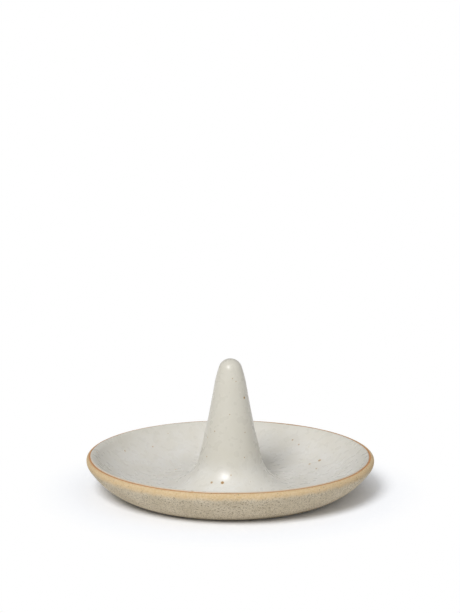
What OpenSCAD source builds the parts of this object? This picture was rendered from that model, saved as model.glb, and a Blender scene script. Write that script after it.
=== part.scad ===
// Stoneware ring dish: a shallow dish with a cone in its middle that finger rings drop over.
// Millimetres, +Z up. The origin is the centre of the foot, on the surface that the dish stands on.
// Every curve of the section is an arc, tangent to its neighbours, turned about the Z axis.
// Sizes of the inside of the dish and of the cone are those of the glazed surface.

/* [Dish] */
// Diameter of the dish at its widest, just under the lip
dish_d = 120; // [105:1:140]
// Height of the bare clay lip above the table
lip_h = 15.6; // [13:0.1:20]
// Rounding of the lip towards the outside
lip_out_r = 1.5; // [1:0.1:2.2]
// Rounding of the lip towards the inside
lip_in_r = 4; // [3:0.1:6]
// Radius of the bend from the floor up into the wall, inside the dish
bowl_r = 32; // [26:0.5:40]
// Thickness of the clay floor
floor_t = 2.85; // [2.4:0.05:4]

/* [Outside wall and foot] */
// How far the edge of the foot lies in from the widest point of the dish
foot_inset = 16.5; // [14:0.5:22]
// Slope of the outside wall as it leaves the foot, in degrees
foot_rise = 19.3; // [14:0.1:24]
// Radius of the bend from the widest point in under the dish
belly_r = 3.8; // [3:0.1:5]
// Width of the ring that the dish stands on
foot_ring_w = 7.5; // [5:0.5:12]
// Depth of the relief inside the foot ring
foot_relief = 0.6; // [0.3:0.1:1]

/* [Ring cone] */
// Height of the cone's tip above the table
cone_h = 57.4; // [50:0.1:66]
// Radius of the cone's round nose
nose_r = 5; // [4.6:0.1:6]
// Lean of the surface where the nose ends, in degrees from upright
nose_end = 18; // [15:0.5:22]
// Radius of the shoulder that eases the nose into the flank
shoulder_r = 60; // [40:1:75]
// Lean of the flank at its top, in degrees from upright
flank_lean = 9.3; // [7.5:0.1:10.5]
// Lean that the flank gains on its way down, in degrees
flank_flare = 4.7; // [3:0.1:7]
// Radius of the sweep from the flank out onto the floor of the dish
sweep_r = 14; // [11:0.5:17]

/* [Inside the cone] */
// Diameter of the seat in the dish where the cone's foot is luted
seat_d = 40; // [36:0.5:44]
// Diameter of the mouth of the hollow, under the dish
hollow_d = 22; // [16:0.5:24]
// Radius of the hollow's round end
hollow_end_r = 2.6; // [1.6:0.1:3]
// Clay left above the hollow, up to the tip
tip_t = 8; // [6:0.5:12]
// Chamfer round the mouth of the hollow
mouth_chamfer = 0.8; // [0.4:0.1:1.2]

/* [Glaze] */
// Thickness of the fused glaze
glaze_t = 0.35; // [0.2:0.05:0.6]
// How far the glaze is wiped back inwards from the highest line of the lip
wipe_back = 0.4; // [0.2:0.1:1.5]

/* [Hidden] */

// How far a straight facet may lie inside the true arc
arc_tol = 0.012;
// Facets of a full turn
$fn = 96;

CLAY = [0.71, 0.66, 0.57];
CONE_CLAY = [0.76, 0.71, 0.62];
GLAZE = [0.86, 0.85, 0.82];

dish_r = dish_d / 2;
foot_r = dish_r - foot_inset;
seat_r = seat_d / 2;
hollow_r = hollow_d / 2;
seat_z = foot_relief + floor_t;
floor_z = seat_z + glaze_t;

// An arc of the section is [centre, radius, start, end]. The angles are those of the line square to
// the surface, out of the clay, and the radius is negative where the surface is hollow.
function square_to(a) = [cos(a), sin(a)];
function at(arc, a) = arc[0] + arc[1] * square_to(a);
function start(arc) = at(arc, arc[2]);
function end(arc) = at(arc, arc[3]);

// The arc of radius r that runs on from point p, turning from angle a to angle b
function arc_from(p, r, a, b) = [p - r * square_to(a), r, a, b];

// The part of an arc between two angles
function cut(arc, a, b) = [arc[0], arc[1], a, b];

// The same arc lowered into the clay by a depth
function under(arc, depth) = [arc[0], arc[1] - depth, arc[2], arc[3]];

// The facets are counted on the arc as given, so an arc and its lowered copy keep the same angles
function facets(arc) =
    ceil(abs(arc[3] - arc[2]) / (2 * acos(1 - arc_tol / max(abs(arc[1]), 1))));

// Points along arcs that run on from each other, without the first point and with it
function onward(arcs, depth = 0) =
    [for (arc = arcs, i = [1 : facets(arc)])
        at(under(arc, depth), arc[2] + (arc[3] - arc[2]) * i / facets(arc))];

function path(arcs, depth = 0) = concat([start(under(arcs[0], depth))], onward(arcs, depth));

function backwards(points) = [for (i = [len(points) - 1 : -1 : 0]) points[i]];

// The cone from its tip down: nose, shoulder, flank, and the sweep onto the floor. The flank's radius
// is the one that makes up the height that the other arcs leave.
flank_foot = flank_lean + flank_flare;
nose = arc_from([0, cone_h], nose_r, 90, nose_end);
shoulder = arc_from(end(nose), shoulder_r, nose_end, flank_lean);
sweep_top_z = floor_z + sweep_r * (1 - sin(flank_foot));
flank_r = (end(shoulder)[1] - sweep_top_z) / (sin(flank_foot) - sin(flank_lean));
flank = arc_from(end(shoulder), -flank_r, flank_lean, flank_foot);
sweep = arc_from(end(flank), -sweep_r, flank_foot, 90);

// The seam between cone and dish meets the sweep where its clay surface reaches the seat's radius
seam = acos((sweep[0][0] - seat_r) / (sweep_r + glaze_t));
sweep_on_cone = cut(sweep, flank_foot, seam);
sweep_on_dish = cut(sweep, seam, 90);
cone_arcs = [nose, shoulder, flank, sweep_on_cone];

// The bowl from the floor up the wall and over the lip. Bowl and lip turn through the same angle,
// the one that makes up the height between the floor and the top of the lip.
lip_top = [dish_r - lip_out_r, lip_h + glaze_t];
wall_lean = acos(1 - (lip_top[1] - floor_z) / (bowl_r + lip_in_r));
lip_in = arc_from(lip_top, lip_in_r, 90, 90 + wall_lean);
bowl = arc_from(end(lip_in), -bowl_r, 90 + wall_lean, 90);

// The glaze is wiped back from the lip to this angle of the lip's inner rounding
glaze_end = 90 + asin(wipe_back / (lip_in_r - glaze_t));
lip_glazed = cut(lip_in, 90 + wall_lean, glaze_end);
lip_bare = cut(lip_in, glaze_end, 90);
bowl_arcs = [sweep_on_dish, cut(bowl, 90, 90 + wall_lean), lip_glazed];

// The outside: lip, bend under the widest point, and the wall, whose radius is the one that leaves
// the foot at its slope and runs on into the bend
lip_out = arc_from([lip_top[0], lip_h], lip_out_r, 90, 0);
belly_centre = [dish_r - belly_r, lip_h - lip_out_r];
wall_foot = foot_rise - 90;
foot_to_belly = [foot_r, 0] - belly_centre;
wall_r = (belly_r * belly_r - foot_to_belly * foot_to_belly)
    / (2 * (belly_r - foot_to_belly * square_to(wall_foot)));
wall_centre = [foot_r, 0] - wall_r * square_to(wall_foot);
wall_top = atan2(belly_centre[1] - wall_centre[1], belly_centre[0] - wall_centre[0]);
belly = [belly_centre, belly_r, 0, wall_top];
wall = [wall_centre, wall_r, wall_top, wall_foot];

// The hollow of the cone: a straight taper with a round end, tangent to each other
hollow_end_centre = [0, cone_h - tip_t - hollow_end_r];
hollow_mouth = [hollow_r, seat_z];
mouth_from_end = hollow_mouth - hollow_end_centre;
hollow_lean = atan2(mouth_from_end[1], mouth_from_end[0]) + acos(hollow_end_r / norm(mouth_from_end));
hollow_end = [hollow_end_centre, hollow_end_r, hollow_lean, 90];

module turned(points) rotate_extrude() polygon(points);

// Bare clay dish: inside line from the seat out to the lip, outside line down to the foot, underside
module dish_body() color(CLAY) turned(concat(
    path(concat(bowl_arcs, [lip_bare]), glaze_t),
    onward([lip_out, belly, wall]),
    [[foot_r - foot_ring_w, 0],
     [foot_r - foot_ring_w - foot_relief, foot_relief],
     [hollow_r + mouth_chamfer, foot_relief],
     [hollow_r, foot_relief + mouth_chamfer],
     hollow_mouth,
     [seat_r, seat_z]]));

// Hollow clay cone, standing on the dish's floor with its flared foot inside the raised seat
module ring_cone() color(CONE_CLAY) turned(concat(
    path(cone_arcs, glaze_t),
    [[seat_r, seat_z], hollow_mouth],
    path([hollow_end])));

// Glass skin over the cone and the inside of the dish, down to its wiped edge on the lip
module glaze_coat() color(GLAZE) turned(concat(
    path(concat(cone_arcs, bowl_arcs)),
    backwards(path(concat(cone_arcs, bowl_arcs), glaze_t))));

dish_body();
ring_cone();
glaze_coat();
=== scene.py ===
# Ring dish of speckled stoneware, on a pale floor in soft studio light
import math

import bmesh
import bpy
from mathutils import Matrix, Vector
from mathutils.bvhtree import BVHTree


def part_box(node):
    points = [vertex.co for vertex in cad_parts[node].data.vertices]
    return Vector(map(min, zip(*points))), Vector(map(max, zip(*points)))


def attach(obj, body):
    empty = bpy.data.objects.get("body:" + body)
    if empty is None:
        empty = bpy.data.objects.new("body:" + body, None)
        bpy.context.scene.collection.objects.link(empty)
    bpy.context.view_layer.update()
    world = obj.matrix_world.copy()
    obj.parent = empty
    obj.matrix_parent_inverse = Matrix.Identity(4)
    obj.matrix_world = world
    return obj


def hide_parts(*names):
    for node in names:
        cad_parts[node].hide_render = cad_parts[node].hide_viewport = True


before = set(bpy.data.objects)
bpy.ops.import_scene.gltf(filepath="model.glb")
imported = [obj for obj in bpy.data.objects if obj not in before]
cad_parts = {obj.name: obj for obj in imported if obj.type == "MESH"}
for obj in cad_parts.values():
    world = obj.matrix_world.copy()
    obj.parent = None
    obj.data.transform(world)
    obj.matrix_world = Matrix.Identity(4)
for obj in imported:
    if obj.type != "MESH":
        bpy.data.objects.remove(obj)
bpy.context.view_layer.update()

MM = 0.001
TURN = 2 * math.pi
QUARTER = math.pi / 2
WHITE = (1, 1, 1, 1)

# The photograph: its frame in pixels, the pixel of the model's origin, and how the camera stood
PHOTO_W = 460
PHOTO_H = 613
ORIGIN_PX = (230.35, 491.9)
PX_PER_MM = 2.388
CAMERA_DISTANCE_MM = 1800
CAMERA_ELEVATION = math.radians(15.55)
SENSOR_MM = 36
CLIP_END_M = 50

# The lamps, with their angles in degrees, and the strength of the room's own light. Azimuth 0 is behind
# the camera and grows towards its right.
KEY_LAMP = {"azimuth": -22, "elevation": 44, "strength": 2.2, "spread": 24}
SIDE_FILL_LAMP = {"azimuth": 62, "elevation": 34, "strength": 0.2, "spread": 70}
ROOM_LIGHT = 0.33

# The floor: half its side in metres, its colour as it lights the dish, its colour as it is seen, which is
# over 1 so that its lit part comes out near white, and the distances from the origin, in millimetres,
# between which it turns plain white
FLOOR_HALF = 4
FLOOR_GREY = (0.96, 0.96, 0.96, 1)
FLOOR_SEEN = (1.06, 1.09, 1.15, 1)
WHITE_FROM = 53
WHITE_FULL = 86

# Radii and slopes of the section, in millimetres and radians. Its heights and widths come from the frame.
NOSE_R = 5
NOSE_END = math.radians(18)
SHOULDER_R = 60
FLANK_LEAN = math.radians(9.3)
FLANK_FOOT = math.radians(14)
SWEEP_R = 14
BOWL_R = 32
LIP_IN_R = 4
LIP_OUT_R = 1.5
BELLY_R = 3.8
FOOT_INSET = 16.5
FOOT_RISE = math.radians(19.3)
FOOT_RING_W = 7.5
FOOT_RELIEF = 0.6
SEAT_R = 20
HOLLOW_R = 11
HOLLOW_END_R = 2.6
TIP_T = 8
MOUTH_CHAMFER = 0.8

# The dish as it came off the wheel: the radius from which it is uneven, how much higher its rim is at the
# left, in millimetres, and how far it is out of round, as a share. A wave round the rim is given by its
# height, its count and its phase.
UNEVEN_FROM = 28
RIM_TILT = 0.15
OUT_OF_ROUND = 0.001
ROUND_WAVES = [(1, 2, 0.7), (0.6, 3, 2)]

# Bare clay inside the lip's highest line, in millimetres: its mean, how much more there is at the right and
# at the back, the least there is, and the waves along the edge of the glaze
WIPE_MEAN = 0.28
WIPE_SIDE = 0.2
WIPE_BACK = 0.6
WIPE_LEAST = 0.02
WIPE_WAVES = [(0.07, 5, 1), (0.05, 9, 2.2), (0.03, 17, 0)]

# How far from the corners of the foot they start to be softened
SOFT_CORNER = 0.35

# The edge of the glaze: how far in it is rounded, and the bead behind it, by the distance of its top, half
# its width, and what it adds to the thickness as a share
EDGE_ROUND = 0.3
BEAD_AT = 0.6
BEAD_HALF = 0.35
BEAD_SWELL = 0.3

# The meshes: directions round the axis, longest steps along an arc and a straight line in millimetres,
# fewest steps of an arc, steps of a softened corner and of the last glaze over the lip, and how near
# the axis a point counts as on it
SIDES = 320
ARC_STEP = 0.5
STRAIGHT_STEP = 0.75
FEWEST_STEPS = 3
CORNER_STEPS = 4
LIP_STEPS = 18
ON_AXIS = 1e-9

# The vertex mark that tells a material how far from the edge of the glaze a point lies
EDGE_MARK = "edge_mm"


def across(node, axis):
    """The lowest and highest place of a CAD node along an axis, in millimetres."""
    low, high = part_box(node)
    return low[axis] / MM, high[axis] / MM


DISH_R = across("dish_body", 0)[1]
LIP_H = across("dish_body", 2)[1]
CONE_H = across("glaze_coat", 2)[1]
GLAZE_T = CONE_H - across("ring_cone", 2)[1]
SEAT_Z = across("ring_cone", 2)[0]
FLOOR_Z = SEAT_Z + GLAZE_T
FOOT_R = DISH_R - FOOT_INSET


# An arc is (centre r, centre z, radius, first angle, last angle). The angles are those of the outward
# normal, and the radius is negative where the surface is hollow.
def at(arc, angle):
    return arc[0] + arc[2] * math.cos(angle), arc[1] + arc[2] * math.sin(angle)


def arc_from(point, radius, first, last):
    """The arc that starts at a point."""
    centre = point[0] - radius * math.cos(first), point[1] - radius * math.sin(first)
    return (*centre, radius, first, last)


def end(arc):
    return at(arc, arc[4])


def lowered(arc, depth):
    """The same arc, moved into the clay by a depth."""
    return arc[0], arc[1], arc[2] - depth, arc[3], arc[4]


def cut(arc, first, last):
    """The part of an arc between two angles."""
    return arc[0], arc[1], arc[2], first, last


def length(arc):
    return abs(arc[2] * (arc[4] - arc[3]))


def walk(arcs):
    """Points (r, z, angle of the normal, distance walked) along arcs that run on from each other."""
    points = []
    walked = 0
    for arc in arcs:
        steps = max(FEWEST_STEPS, math.ceil(length(arc) / ARC_STEP))
        for i in range(1 if points else 0, steps + 1):
            angle = arc[3] + (arc[4] - arc[3]) * i / steps
            points.append((*at(arc, angle), angle, walked + length(arc) * i / steps))
        walked += length(arc)
    return points


def straight(first, last):
    """Points after first, up to last."""
    steps = max(1, math.ceil(math.dist(first, last) / STRAIGHT_STEP))
    return [tuple(a + (b - a) * i / steps for a, b in zip(first, last)) for i in range(1, steps + 1)]


def back_from(corner, neighbour):
    """The point where the softening of a corner meets the line to its neighbour."""
    apart = math.dist(neighbour, corner)
    return [c + (n - c) * SOFT_CORNER / apart for n, c in zip(neighbour, corner)]


def softened(corners):
    """A line along corners, each but the first and last rounded."""
    line = [corners[0]]
    for before, corner, after in zip(corners, corners[1:], corners[2:]):
        into = back_from(corner, before)
        out = back_from(corner, after)
        line += straight(line[-1], into)
        for i in range(1, CORNER_STEPS + 1):
            t = i / CORNER_STEPS
            bend = zip(into, corner, out)
            line.append(tuple((1 - t) ** 2 * p + 2 * t * (1 - t) * c + t * t * q for p, c, q in bend))
    return line + straight(line[-1], corners[-1])


# The cone from its tip down, and the inside of the dish out to the lip
nose = arc_from((0, CONE_H), NOSE_R, QUARTER, NOSE_END)
shoulder = arc_from(end(nose), SHOULDER_R, NOSE_END, FLANK_LEAN)
sweep_top = FLOOR_Z + SWEEP_R * (1 - math.sin(FLANK_FOOT))
flank_r = (end(shoulder)[1] - sweep_top) / (math.sin(FLANK_FOOT) - math.sin(FLANK_LEAN))
flank = arc_from(end(shoulder), -flank_r, FLANK_LEAN, FLANK_FOOT)
sweep = arc_from(end(flank), -SWEEP_R, FLANK_FOOT, QUARTER)
seam = math.acos((sweep[0] - SEAT_R) / (SWEEP_R + GLAZE_T))
lip_top = (DISH_R - LIP_OUT_R, LIP_H + GLAZE_T)
wall_lean = math.acos(1 - (lip_top[1] - FLOOR_Z) / (BOWL_R + LIP_IN_R))
lip_in = arc_from(lip_top, LIP_IN_R, QUARTER, QUARTER + wall_lean)
bowl = arc_from(end(lip_in), -BOWL_R, QUARTER + wall_lean, QUARTER)
CONE_ARCS = [nose, shoulder, flank, cut(sweep, FLANK_FOOT, seam)]
BOWL_ARCS = [cut(sweep, seam, QUARTER), cut(bowl, QUARTER, QUARTER + wall_lean)]
LIP_CLAY = lowered(cut(lip_in, QUARTER + wall_lean, QUARTER), GLAZE_T)

# The outside, from the lip down to the foot
lip_out = arc_from((lip_top[0], LIP_H), LIP_OUT_R, QUARTER, 0)
belly_centre = (DISH_R - BELLY_R, LIP_H - LIP_OUT_R)
wall_foot = FOOT_RISE - QUARTER
to_foot = (FOOT_R - belly_centre[0], -belly_centre[1])
to_foot_along = to_foot[0] * math.cos(wall_foot) + to_foot[1] * math.sin(wall_foot)
wall_r = (BELLY_R ** 2 - to_foot[0] ** 2 - to_foot[1] ** 2) / (2 * (BELLY_R - to_foot_along))
wall_centre = (FOOT_R - wall_r * math.cos(wall_foot), -wall_r * math.sin(wall_foot))
wall_top = math.atan2(belly_centre[1] - wall_centre[1], belly_centre[0] - wall_centre[0])
belly = (*belly_centre, BELLY_R, 0, wall_top)
wall = (*wall_centre, wall_r, wall_top, wall_foot)
OUTSIDE_ARCS = [lip_out, belly, wall]

# The hollow of the cone, a taper with a round end
hollow_centre = (0, CONE_H - TIP_T - HOLLOW_END_R)
to_mouth = (HOLLOW_R, SEAT_Z - hollow_centre[1])
taper_lean = math.atan2(to_mouth[1], to_mouth[0]) + math.acos(HOLLOW_END_R / math.hypot(*to_mouth))
HOLLOW_END = (*hollow_centre, HOLLOW_END_R, taper_lean, QUARTER)


def smooth(value, low, high):
    """Eases from 0 at low to 1 at high."""
    t = min(1, max(0, (value - low) / (high - low)))
    return t * t * (3 - 2 * t)


def waves(terms, turn):
    """The sum of waves round the rim at a direction."""
    return sum(height * math.cos(count * turn + phase) for height, count, phase in terms)


def wiped_angle(turn):
    """Angle of the lip's inner rounding at which the wiped glaze ends, at a direction round the dish."""
    wipe = WIPE_MEAN + WIPE_SIDE * math.cos(turn) + WIPE_BACK * max(0, math.sin(turn))
    wipe += waves(WIPE_WAVES, turn)
    return QUARTER + math.asin(max(WIPE_LEAST, wipe) / (LIP_IN_R - GLAZE_T))


def settled(radius, turn, z):
    """Where a point of the true section lies on the dish as it was made, in metres."""
    outwards = smooth(radius, UNEVEN_FROM, DISH_R)
    rim = outwards * min(1, z / LIP_H)
    radius *= 1 + OUT_OF_ROUND * waves(ROUND_WAVES, turn) * outwards
    z -= RIM_TILT * math.cos(turn) * rim
    return radius * math.cos(turn) * MM, radius * math.sin(turn) * MM, z * MM


def turned(name, section_at, node):
    """A closed solid turned about Z. section_at gives the (r, z, mark) points of each direction. A section
    that starts on the axis ends on it too."""
    columns = [section_at(TURN * j / SIDES) for j in range(SIDES)]
    rows = len(columns[0])
    form = bmesh.new()
    mark = form.verts.layers.float.new(EDGE_MARK)
    grid = [[None] * rows for column in columns]
    for i in range(rows):
        for j, column in enumerate(columns):
            if j and column[i][0] < ON_AXIS:
                grid[j][i] = grid[0][i]
                continue
            grid[j][i] = form.verts.new(settled(column[i][0], TURN * j / SIDES, column[i][1]))
            grid[j][i][mark] = column[i][2]
    from_axis = columns[0][0][0] < ON_AXIS
    for j in range(SIDES):
        here, there = grid[j], grid[(j + 1) % SIDES]
        for i in range(rows - 1 if from_axis else rows):
            k = (i + 1) % rows
            corners = dict.fromkeys((here[i], there[i], there[k], here[k]))
            if len(corners) > 2:
                form.faces.new(corners)
    bmesh.ops.recalc_face_normals(form, faces=form.faces)
    mesh = bpy.data.meshes.new(name)
    form.to_mesh(mesh)
    form.free()
    mesh.shade_smooth()
    piece = bpy.data.objects.new(name, mesh)
    bpy.context.scene.collection.objects.link(piece)
    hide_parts(node)
    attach(piece, "root")
    return piece


def clay_section(turn):
    """The bare dish. The mark is the distance out from the edge of the glaze along the surface, and stays
    the same from the foot on."""
    inside = walk([lowered(arc, GLAZE_T) for arc in BOWL_ARCS] + [LIP_CLAY])
    outside = walk(OUTSIDE_ARCS)
    edge = inside[-1][3] - (wiped_angle(turn) - QUARTER) * LIP_CLAY[2]
    points = [(r, z, s - edge) for r, z, angle, s in inside]
    points += [(r, z, s + inside[-1][3] - edge) for r, z, angle, s in outside[1:-1]]
    ring_r = FOOT_R - FOOT_RING_W
    under = softened([
        points[-1][:2],
        (FOOT_R, 0),
        (ring_r, 0),
        (ring_r - FOOT_RELIEF, FOOT_RELIEF),
        (HOLLOW_R + MOUTH_CHAMFER, FOOT_RELIEF),
        (HOLLOW_R, FOOT_RELIEF + MOUTH_CHAMFER),
        (HOLLOW_R, SEAT_Z)])
    far = points[-1][2]
    points += [(r, z, far) for r, z in under[1:]]
    return points + [(r, z, far) for r, z in straight((HOLLOW_R, SEAT_Z), (SEAT_R, SEAT_Z))]


def cone_section(turn):
    """The clay cone, alike in every direction and marked as far from the edge of the glaze."""
    far = DISH_R
    points = [(r, z, far) for r, z, angle, s in walk([lowered(arc, GLAZE_T) for arc in CONE_ARCS])]
    points[0] = (0, *points[0][1:])
    inner = walk([HOLLOW_END])
    points += [(r, z, far) for r, z in straight(points[-1][:2], (SEAT_R, SEAT_Z))]
    points += [(r, z, far) for r, z in straight((SEAT_R, SEAT_Z), (HOLLOW_R, SEAT_Z))]
    points += [(r, z, far) for r, z in straight((HOLLOW_R, SEAT_Z), inner[0][:2])]
    points += [(r, z, far) for r, z, angle, s in inner[1:-1]]
    return points + [(0, inner[-1][1], far)]


def glaze_thickness(from_edge):
    """Thickness of the glaze at a distance in from its edge."""
    rounding = math.sqrt(1 - (1 - min(1, from_edge / EDGE_ROUND)) ** 2)
    bead = BEAD_SWELL * math.exp(-((from_edge - BEAD_AT) / BEAD_HALF) ** 2)
    return GLAZE_T * rounding * (1 + bead)


def glaze_section(turn):
    """The glaze: its surface from the tip out to the wiped edge, and back along the clay. The mark is the
    distance in from that edge."""
    body = walk([lowered(arc, GLAZE_T) for arc in CONE_ARCS + BOWL_ARCS])
    first = QUARTER + wall_lean
    last = wiped_angle(turn)
    over = (first - last) * LIP_CLAY[2]
    clay = [(r, z, angle, over + body[-1][3] - s) for r, z, angle, s in body]
    for i in range(LIP_STEPS - 1, -1, -1):
        share = (i / LIP_STEPS) ** 2
        angle = last + (first - last) * share
        clay.append((*at(LIP_CLAY, angle), angle, over * share))
    surface = [(r + glaze_thickness(d) * math.cos(angle), z + glaze_thickness(d) * math.sin(angle), d)
               for r, z, angle, d in clay]
    surface[0] = (0, *surface[0][1:])
    back = [(r, z, d) for r, z, angle, d in reversed(clay[:-1])]
    back[-1] = (0, *back[-1][1:])
    return surface + back


def colour(red, green, blue):
    """The linear colour of an sRGB one, from 0 to 255."""
    def linear(value):
        value /= 255
        return value / 12.92 if value <= 0.04045 else ((value + 0.055) / 1.055) ** 2.4
    return linear(red), linear(green), linear(blue), 1


class Shader:
    """A material that is built from short calls. Its coordinates are millimetres on the object."""

    # The inputs for the two colours of a colour mix, and its output
    MIX_UNDER = 6
    MIX_OVER = 7
    MIX_RESULT = 2
    # The part of its range that a noise mostly keeps to
    NOISE_MIDDLE = (0.3, 0.7)
    # Dots: the waves of their wobbly outline in a cell and its reach in cells, the smallest dot as a share
    # of the largest, the share of its radius within which a dot is full, and the width of the step that
    # draws which cells have one
    WOBBLE_WAVES = 2
    WOBBLE_REACH = 0.3
    SMALLEST_DOT = 0.45
    FULL_WITHIN = 0.45
    DRAW_WIDTH = 0.02

    def __init__(self, name):
        self.material = bpy.data.materials.new(name)
        self.material.use_nodes = True
        self.tree = self.material.node_tree
        self.bsdf = self.tree.nodes["Principled BSDF"]
        place = self.tree.nodes.new("ShaderNodeTexCoord").outputs["Object"]
        self.place = self.vector("SCALE", place, scale=1 / MM)

    def add(self, kind, inputs, **settings):
        """A new node. An input is a socket to link from, or a value."""
        node = self.tree.nodes.new(kind)
        for key, value in settings.items():
            setattr(node, key, value)
        for key, value in inputs.items():
            if isinstance(value, bpy.types.NodeSocket):
                self.tree.links.new(value, node.inputs[key])
            else:
                node.inputs[key].default_value = value
        return node

    def vector(self, operation, a, b=None, scale=None):
        """The result of a vector operation."""
        inputs = {0: a}
        if b is not None:
            inputs[1] = b
        if scale is not None:
            inputs["Scale"] = scale
        node = self.add("ShaderNodeVectorMath", inputs, operation=operation)
        return node.outputs["Value" if operation in ("DISTANCE", "LENGTH") else "Vector"]

    def math(self, operation, a, b=0.0):
        """The result of an operation on numbers."""
        return self.add("ShaderNodeMath", {0: a, 1: b}, operation=operation).outputs[0]

    def scaled(self, value, by):
        return self.math("MULTIPLY", value, by)

    def mark(self):
        """The distance from the edge of the glaze that turned() left on the mesh."""
        return self.add("ShaderNodeAttribute", {}, attribute_name=EDGE_MARK).outputs["Fac"]

    def step(self, value, low, high, to_low=0.0, to_high=1.0):
        """Eases from to_low to to_high while the value goes from low to high."""
        inputs = {"Value": value, "From Min": low, "From Max": high, "To Min": to_low, "To Max": to_high}
        return self.add("ShaderNodeMapRange", inputs, interpolation_type="SMOOTHSTEP").outputs["Result"]

    def noise(self, per_mm, detail=3.0, roughness=0.55):
        inputs = {"Vector": self.place, "Scale": per_mm, "Detail": detail, "Roughness": roughness}
        return self.add("ShaderNodeTexNoise", inputs).outputs["Fac"]

    def patches(self, per_mm, start, full, amount=1.0, detail=3.0, roughness=0.55):
        """Eases from 0, where the noise is at start, to the amount, where it is at full."""
        return self.step(self.noise(per_mm, detail, roughness), start, full, to_high=amount)

    def varied(self, per_mm, least, most, detail=3.0):
        """Eases from least to most over the middle of the noise's range."""
        return self.step(self.noise(per_mm, detail), *self.NOISE_MIDDLE, to_low=least, to_high=most)

    def wandering(self, value, per_mm, reach):
        """The value with a noise added, which moves it by up to half the reach either way."""
        off = self.math("SUBTRACT", self.noise(per_mm), 0.5)
        return self.math("ADD", value, self.scaled(off, reach))

    def dots(self, cell, radius, share, amount):
        """Round dots in that share of the cells, from 0 outside them to the amount at their middle."""
        pattern = {"Vector": self.place, "Scale": self.WOBBLE_WAVES / cell}
        wobble = self.add("ShaderNodeTexNoise", pattern).outputs["Color"]
        wobble = self.vector("SCALE", wobble, scale=self.WOBBLE_REACH * cell)
        moved = self.vector("ADD", self.place, wobble)
        cells = self.add("ShaderNodeTexVoronoi", {"Vector": moved, "Scale": 1 / cell})
        chance = self.add("ShaderNodeSeparateColor", {0: cells.outputs["Color"]}).outputs
        size = self.step(chance[1], 0, 1, to_low=self.SMALLEST_DOT, to_high=1)
        away = self.math("DIVIDE", self.scaled(cells.outputs["Distance"], cell), size)
        dot = self.step(away, radius, self.FULL_WITHIN * radius)
        drawn = self.step(chance[0], share, share - self.DRAW_WIDTH)
        return self.scaled(self.math("MULTIPLY", dot, drawn), amount)

    def mix(self, cover, under, over):
        """The colour under, covered with as much of the colour over as cover says."""
        inputs = {"Factor": cover, self.MIX_UNDER: under, self.MIX_OVER: over}
        return self.add("ShaderNodeMix", inputs, data_type="RGBA").outputs[self.MIX_RESULT]

    def connect(self, base, roughness, height, bump_mm, bump_strength):
        """Sets the colour, the roughness and a bump, where bump_mm is how far a height of 1 stands out."""
        self.tree.links.new(base, self.bsdf.inputs["Base Color"])
        self.tree.links.new(roughness, self.bsdf.inputs["Roughness"])
        inputs = {"Height": height, "Distance": bump_mm * MM, "Strength": bump_strength}
        bump = self.add("ShaderNodeBump", inputs)
        self.tree.links.new(bump.outputs["Normal"], self.bsdf.inputs["Normal"])


# Colours of the bare clay: the body, its clouds, dark and light grains, the tan and the toasted band that
# follow the edge of the glaze, and the pits
SAND = colour(202, 190, 167)
PALE_SAND = colour(212, 201, 180)
CLOUDED_SAND = colour(178, 165, 140)
DARK_GRAIN = colour(132, 119, 99)
LIGHT_GRAIN = colour(230, 221, 203)
TAN = colour(205, 176, 131)
PALE_TAN = colour(216, 191, 152)
TOAST = colour(193, 139, 94)
SMALL_PIT = colour(118, 104, 86)
LARGE_PIT = colour(100, 84, 66)

# Distances out from the edge of the glaze, in millimetres, at which the two bands begin and are full
TAN_FROM = 5
TAN_FULL = 2.4
TOAST_FROM = 0.95
TOAST_FULL = 0.5


def clay_material(name):
    """Bare sandy stoneware, toasted along the lip where the glaze was wiped off."""
    s = Shader(name)
    s.bsdf.inputs["IOR"].default_value = 1.45
    s.bsdf.inputs["Specular IOR Level"].default_value = 0.25
    base = s.mix(s.patches(per_mm=0.09, start=0.35, full=0.65), SAND, PALE_SAND)
    base = s.mix(s.patches(per_mm=0.6, start=0.45, full=0.75, amount=0.4, detail=4), base, CLOUDED_SAND)
    dark = s.patches(per_mm=1.5, start=0.51, full=0.62, amount=0.85, detail=4, roughness=0.7)
    base = s.mix(dark, base, DARK_GRAIN)
    light = s.patches(per_mm=1.9, start=0.45, full=0.33, amount=0.6, roughness=0.7)
    base = s.mix(light, base, LIGHT_GRAIN)
    edge = s.mark()
    tan = s.mix(s.patches(per_mm=1.2, start=0.35, full=0.65, detail=4), TAN, PALE_TAN)
    tan_band = s.step(s.wandering(edge, per_mm=0.35, reach=2.2), TAN_FROM, TAN_FULL, to_high=0.85)
    base = s.mix(tan_band, base, tan)
    toasted_band = s.step(s.wandering(edge, per_mm=1, reach=0.5), TOAST_FROM, TOAST_FULL, to_high=0.95)
    base = s.mix(toasted_band, base, TOAST)
    base = s.mix(s.dots(cell=1, radius=0.3, share=0.5, amount=0.8), base, SMALL_PIT)
    base = s.mix(s.dots(cell=2.6, radius=0.36, share=0.35, amount=0.85), base, LARGE_PIT)
    roughness = s.varied(per_mm=1.5, least=0.78, most=0.92)
    pits = s.dots(cell=0.7, radius=0.2, share=0.5, amount=-0.35)
    sand = s.math("ADD", s.noise(per_mm=1.6, detail=5, roughness=0.7), pits)
    s.connect(base, roughness, sand, bump_mm=0.16, bump_strength=0.8)
    return s.material


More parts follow.
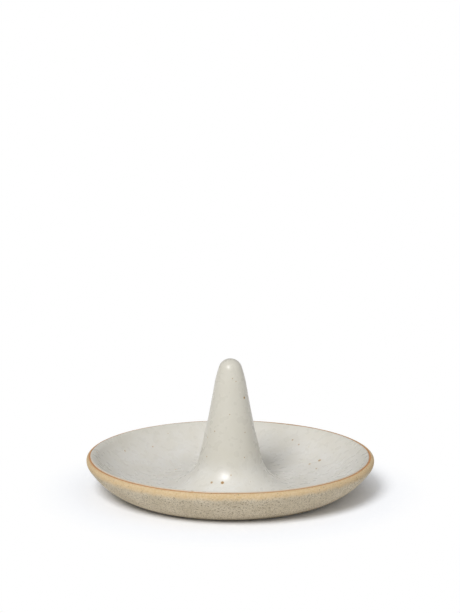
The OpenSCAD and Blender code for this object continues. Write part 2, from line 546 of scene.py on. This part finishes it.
# Iron spots that the photograph shows in the glaze: the pixel across, the pixel down, the radius in
# millimetres and the strength
IRON_SPOTS = [
    (244.3, 397.7, 0.42, 0.9), (222.4, 482.7, 0.60, 0.9), (319.5, 460.4, 0.60, 0.85),
    (211.6, 482.5, 0.45, 0.7), (214.7, 431.2, 0.24, 0.7), (207.6, 437.2, 0.22, 0.7),
    (206.8, 456.5, 0.24, 0.7), (309.6, 464.0, 0.45, 0.7), (316.3, 468.6, 0.40, 0.7),
    (245.0, 432.4, 0.22, 0.6), (244.4, 457.4, 0.22, 0.6), (229.7, 414.5, 0.20, 0.6),
    (231.0, 475.2, 0.26, 0.6), (175.7, 469.4, 0.45, 0.6), (292.5, 439.9, 0.36, 0.6),
    (298.7, 444.5, 0.36, 0.6), (192.3, 491.8, 0.45, 0.6), (125.0, 450.8, 0.42, 0.6),
    (152.7, 446.6, 0.38, 0.6), (168.0, 433.4, 0.20, 0.6), (97.0, 452.0, 0.38, 0.6),
    (232.5, 378.5, 0.18, 0.6), (236.0, 381.5, 0.20, 0.6),
]
# Where the halo of a spot and the spot itself begin and where both are full, in shares of its radius, and
# the halo's strength as a share of the spot's
HALO_REACH = 2
SPOT_REACH = 1.3
SPOT_FULL = 0.8
HALO_STRENGTH = 0.35

# Colours of the glaze: the body, its clouds and grain, the greyer glaze up on the cone, fine and coarse
# specks, the iron spots and their halos, and the thin glaze at the wiped edge
OFF_WHITE = colour(223, 221, 215)
CREAM = colour(218, 215, 206)
CLOUDED_CREAM = colour(210, 205, 193)
GLAZE_GRAIN = colour(198, 190, 172)
CONE_GLAZE = colour(206, 202, 189)
FINE_SPECK = colour(186, 166, 132)
COARSE_SPECK = colour(164, 134, 92)
HALO = colour(202, 176, 124)
IRON = colour(152, 110, 36)
THIN_GLAZE = colour(206, 184, 152)

# Heights between which the glaze turns to that of the cone, and distances in from the wiped edge between
# which it turns thin, in millimetres
CONE_GLAZE_FROM = 7
CONE_GLAZE_FULL = 22
THIN_FROM = 0.5
THIN_FULL = 0.1


def aimed_camera():
    """Sets up the camera that puts the origin on its pixel of the photograph. Gives the place where it
    stands, its directions right, up and ahead, and its focal length in pixels."""
    focal_px = PX_PER_MM * CAMERA_DISTANCE_MM
    stand = Vector((0, -math.cos(CAMERA_ELEVATION), math.sin(CAMERA_ELEVATION))) * CAMERA_DISTANCE_MM * MM
    pitch = CAMERA_ELEVATION - math.atan((ORIGIN_PX[1] - PHOTO_H / 2) / focal_px)
    yaw = math.atan((ORIGIN_PX[0] - PHOTO_W / 2) / focal_px)
    data = bpy.data.cameras.new("camera")
    # The sensor's width stands for the longer side of the frame, which is its height here
    data.sensor_width = SENSOR_MM
    data.lens = SENSOR_MM * focal_px / PHOTO_H
    data.clip_end = CLIP_END_M
    camera = bpy.data.objects.new("camera", data)
    camera.location = stand
    camera.rotation_euler = (QUARTER - pitch, 0, yaw)
    bpy.context.scene.collection.objects.link(camera)
    bpy.context.scene.camera = camera
    turn = camera.rotation_euler.to_matrix()
    return stand, turn.col[0], turn.col[1], -turn.col[2], focal_px


def seen_at(skin, view, across_px, down_px):
    """The point of the skin that the photograph shows at a pixel, in millimetres."""
    stand, right, up, ahead, focal_px = view
    ray = ahead * focal_px + right * (across_px - PHOTO_W / 2) - up * (down_px - PHOTO_H / 2)
    return skin.ray_cast(stand, ray.normalized())[0] / MM


def glaze_material(spots):
    """Satin off-white glaze with fine ochre specks, and iron spots at their places."""
    s = Shader("satin_glaze")
    s.bsdf.inputs["IOR"].default_value = 1.5
    s.bsdf.inputs["Specular IOR Level"].default_value = 0.45
    base = s.mix(s.patches(per_mm=0.11, start=0.35, full=0.68, detail=4), OFF_WHITE, CREAM)
    base = s.mix(s.patches(per_mm=0.8, start=0.5, full=0.75, amount=0.3, detail=4), base, CLOUDED_CREAM)
    grain = s.patches(per_mm=1.5, start=0.54, full=0.7, amount=0.12, roughness=0.65)
    base = s.mix(grain, base, GLAZE_GRAIN)
    up = s.add("ShaderNodeSeparateXYZ", {0: s.place}).outputs["Z"]
    base = s.mix(s.step(up, CONE_GLAZE_FROM, CONE_GLAZE_FULL, to_high=0.75), base, CONE_GLAZE)
    base = s.mix(s.dots(cell=1.9, radius=0.22, share=0.3, amount=0.3), base, FINE_SPECK)
    base = s.mix(s.dots(cell=4.2, radius=0.32, share=0.3, amount=0.65), base, COARSE_SPECK)
    for x, y, z, radius, strength in spots:
        away = s.vector("DISTANCE", s.place, (x, y, z))
        halo = s.step(away, HALO_REACH * radius, SPOT_FULL * radius, to_high=HALO_STRENGTH * strength)
        base = s.mix(halo, base, HALO)
        spot = s.step(away, SPOT_REACH * radius, SPOT_FULL * radius, to_high=strength)
        base = s.mix(spot, base, IRON)
    base = s.mix(s.step(s.mark(), THIN_FROM, THIN_FULL, to_high=0.5), base, THIN_GLAZE)
    roughness = s.varied(per_mm=0.3, least=0.26, most=0.33, detail=1)
    s.connect(base, roughness, s.noise(per_mm=0.28, detail=1), bump_mm=0.04, bump_strength=0.3)
    return s.material


def floor_material():
    """Pale floor that keeps the dish's shadow and is white past it, as the photograph has it."""
    s = Shader("pale_floor")
    path = s.add("ShaderNodeLightPath", {}).outputs
    seen = s.math("MAXIMUM", path["Is Camera Ray"], path["Is Glossy Ray"])
    seen = s.math("MAXIMUM", seen, path["Is Transmission Ray"])
    plain = s.add("ShaderNodeBsdfDiffuse", {"Color": FLOOR_GREY}).outputs[0]
    bright = s.add("ShaderNodeBsdfDiffuse", {"Color": FLOOR_SEEN}).outputs[0]
    white = s.add("ShaderNodeEmission", {"Color": WHITE, "Strength": 1.0}).outputs[0]
    far = s.step(s.vector("LENGTH", s.place), WHITE_FROM, WHITE_FULL)
    shown = s.add("ShaderNodeMixShader", {0: far, 1: bright, 2: white}).outputs[0]
    whole = s.add("ShaderNodeMixShader", {0: seen, 1: plain, 2: shown}).outputs[0]
    s.tree.nodes.remove(s.bsdf)
    s.tree.links.new(whole, s.tree.nodes["Material Output"].inputs["Surface"])
    return s.material


def floor():
    """A plain square floor under the dish."""
    half = FLOOR_HALF
    corners = [(-half, -half, 0), (half, -half, 0), (half, half, 0), (-half, half, 0)]
    mesh = bpy.data.meshes.new("floor")
    mesh.from_pydata(corners, [], [(0, 1, 2, 3)])
    mesh.materials.append(floor_material())
    ground = bpy.data.objects.new("floor", mesh)
    bpy.context.scene.collection.objects.link(ground)


def lamp(name, azimuth, elevation, strength, spread):
    """A soft lamp far off."""
    data = bpy.data.lights.new(name, "SUN")
    data.energy = strength
    data.angle = math.radians(spread)
    light = bpy.data.objects.new(name, data)
    light.rotation_euler = (math.radians(90 - elevation), 0, math.radians(azimuth))
    bpy.context.scene.collection.objects.link(light)


def surroundings():
    """A soft grey room as the light. Only the camera sees it as white."""
    world = bpy.data.worlds.new("room")
    world.use_nodes = True
    bpy.context.scene.world = world
    tree = world.node_tree
    room = tree.nodes["Background"]
    room.inputs["Color"].default_value = WHITE
    room.inputs["Strength"].default_value = ROOM_LIGHT
    white = tree.nodes.new("ShaderNodeBackground")
    white.inputs["Color"].default_value = WHITE
    path = tree.nodes.new("ShaderNodeLightPath")
    choose = tree.nodes.new("ShaderNodeMixShader")
    tree.links.new(path.outputs["Is Camera Ray"], choose.inputs[0])
    tree.links.new(room.outputs[0], choose.inputs[1])
    tree.links.new(white.outputs[0], choose.inputs[2])
    tree.links.new(choose.outputs[0], tree.nodes["World Output"].inputs["Surface"])


view = aimed_camera()
dish = turned("dish_clay", clay_section, "dish_body")
dish.data.materials.append(clay_material("bare_clay"))
cone = turned("ring_cone_clay", cone_section, "ring_cone")
cone.data.materials.append(clay_material("cone_clay"))
glaze = turned("glaze_skin", glaze_section, "glaze_coat")
skin = BVHTree.FromPolygons([v.co for v in glaze.data.vertices], [p.vertices for p in glaze.data.polygons])
places = [(*seen_at(skin, view, x, y), radius, strength) for x, y, radius, strength in IRON_SPOTS]
glaze.data.materials.append(glaze_material(places))

floor()
lamp("key", **KEY_LAMP)
lamp("side_fill", **SIDE_FILL_LAMP)
surroundings()

scene = bpy.context.scene
scene.view_settings.view_transform = "Standard"
